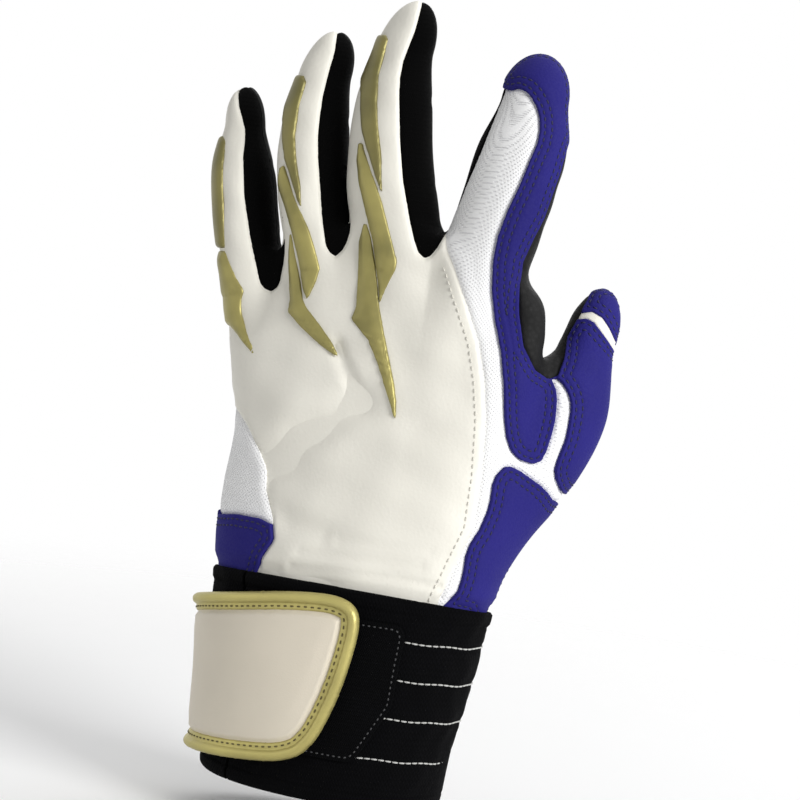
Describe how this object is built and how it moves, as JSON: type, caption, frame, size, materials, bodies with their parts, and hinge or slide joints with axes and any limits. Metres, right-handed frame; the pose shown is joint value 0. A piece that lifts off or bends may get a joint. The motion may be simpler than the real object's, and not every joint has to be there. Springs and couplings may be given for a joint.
{
  "type": "batting glove",
  "caption": "Left-hand batting glove in white, blue and black leather with stretch gussets, gold trim and a wrist strap that closes over a padded cuff.",
  "frame": {"origin": "centre of the wrist opening, on the lower rim of the cuff", "axes": "+Z from the wrist up along the fingers, +X toward the thumb, -Y out of the back of the hand"},
  "size_m": [0.1323, 0.0626, 0.255],
  "materials": {
    "white_leather": "smooth grained, satin",
    "mesh_fabric": "open mesh over foam",
    "blue_leather": "matte, fine napped",
    "black_leather": "matte grained",
    "black_stretch": "stretch knit",
    "gold_trim": "metallic foil over moulded trim",
    "badge_cream": "soft moulded, satin",
    "cuff_knit": "padded stretch knit",
    "fastener": "hook and loop pile"
  },
  "bodies": {
    "hand": {"back_panel": "white_leather", "side_mesh": "mesh_fabric", "ulnar_mesh": "mesh_fabric", "thumb_saddle": "mesh_fabric", "web_overlay": "blue_leather", "thumb_heel_overlay": "blue_leather", "heel_patch": "blue_leather", "thumb_base_overlay": "blue_leather", "thumb_side_overlay": "blue_leather", "palm_panel": "black_leather", "palm_heel_pad": "black_leather", "thumb_ball": "black_leather", "little_ring_web": "black_stretch", "ring_middle_web": "black_stretch", "middle_index_web": "black_stretch", "little_gold_tail": "gold_trim", "ring_gold_tail": "gold_trim", "middle_gold_tail": "gold_trim", "cuff": "cuff_knit", "cuff_hem": "cuff_knit", "strap_anchor": "cuff_knit", "pull_tab": "cuff_knit", "loop_patch": "fastener"},
    "strap": {"strap": "cuff_knit", "hook_patch": "fastener", "badge_panel": "badge_cream", "badge_frame": "gold_trim"},
    "little": {"little_back": "white_leather", "little_underside": "black_leather", "little_thumb_side": "black_stretch", "little_outer_side": "black_stretch", "little_gold_strip": "gold_trim", "little_gold_blade": "gold_trim"},
    "ring": {"ring_back": "white_leather", "ring_underside": "black_leather", "ring_thumb_side": "black_stretch", "ring_outer_side": "black_stretch", "ring_gold_strip": "gold_trim", "ring_gold_blade": "gold_trim"},
    "middle": {"middle_back": "white_leather", "middle_underside": "black_leather", "middle_thumb_side": "black_stretch", "middle_outer_side": "black_stretch", "middle_gold_strip": "gold_trim", "middle_gold_blade": "gold_trim"},
    "index": {"index_back_mesh": "mesh_fabric", "index_tip_overlay": "blue_leather", "index_side_overlay": "blue_leather", "index_underside": "black_leather", "index_outer_side": "black_stretch"},
    "thumb": {"thumb_overlay": "blue_leather", "thumb_tip_cap": "blue_leather", "thumb_underside": "black_leather", "thumb_inner_side": "black_stretch", "thumb_outer_side": "black_stretch"}
  },
  "joints": [
    {"name": "little_flex", "type": "hinge", "parent": "hand", "child": "little", "pos_m": [-0.03981, 0.012, 0.1459], "axis": [-0.9744, 0, -0.225], "range_deg": [0, 70]},
    {"name": "ring_flex", "type": "hinge", "parent": "hand", "child": "ring", "pos_m": [-0.01783, 0.012, 0.15765], "axis": [-0.9744, 0, -0.225], "range_deg": [0, 70]},
    {"name": "middle_flex", "type": "hinge", "parent": "hand", "child": "middle", "pos_m": [0.00789, 0.012, 0.16197], "axis": [-0.9744, 0, -0.225], "range_deg": [0, 70]},
    {"name": "index_flex", "type": "hinge", "parent": "hand", "child": "index", "pos_m": [0.03683, 0.012, 0.15468], "axis": [-0.9744, 0, -0.225], "range_deg": [0, 70]},
    {"name": "thumb_flex", "type": "hinge", "parent": "hand", "child": "thumb", "pos_m": [0.05085, 0.0265, 0.1207], "axis": [-0.7628, -0.5341, 0.3646], "range_deg": [0, 50]},
    {"name": "strap_peel", "type": "hinge", "parent": "hand", "child": "strap", "pos_m": [-0.04335, 0.00463, 0.0056], "axis": [0.0879, -0.0004, -0.9961], "range_deg": [0, 130]}
  ]
}
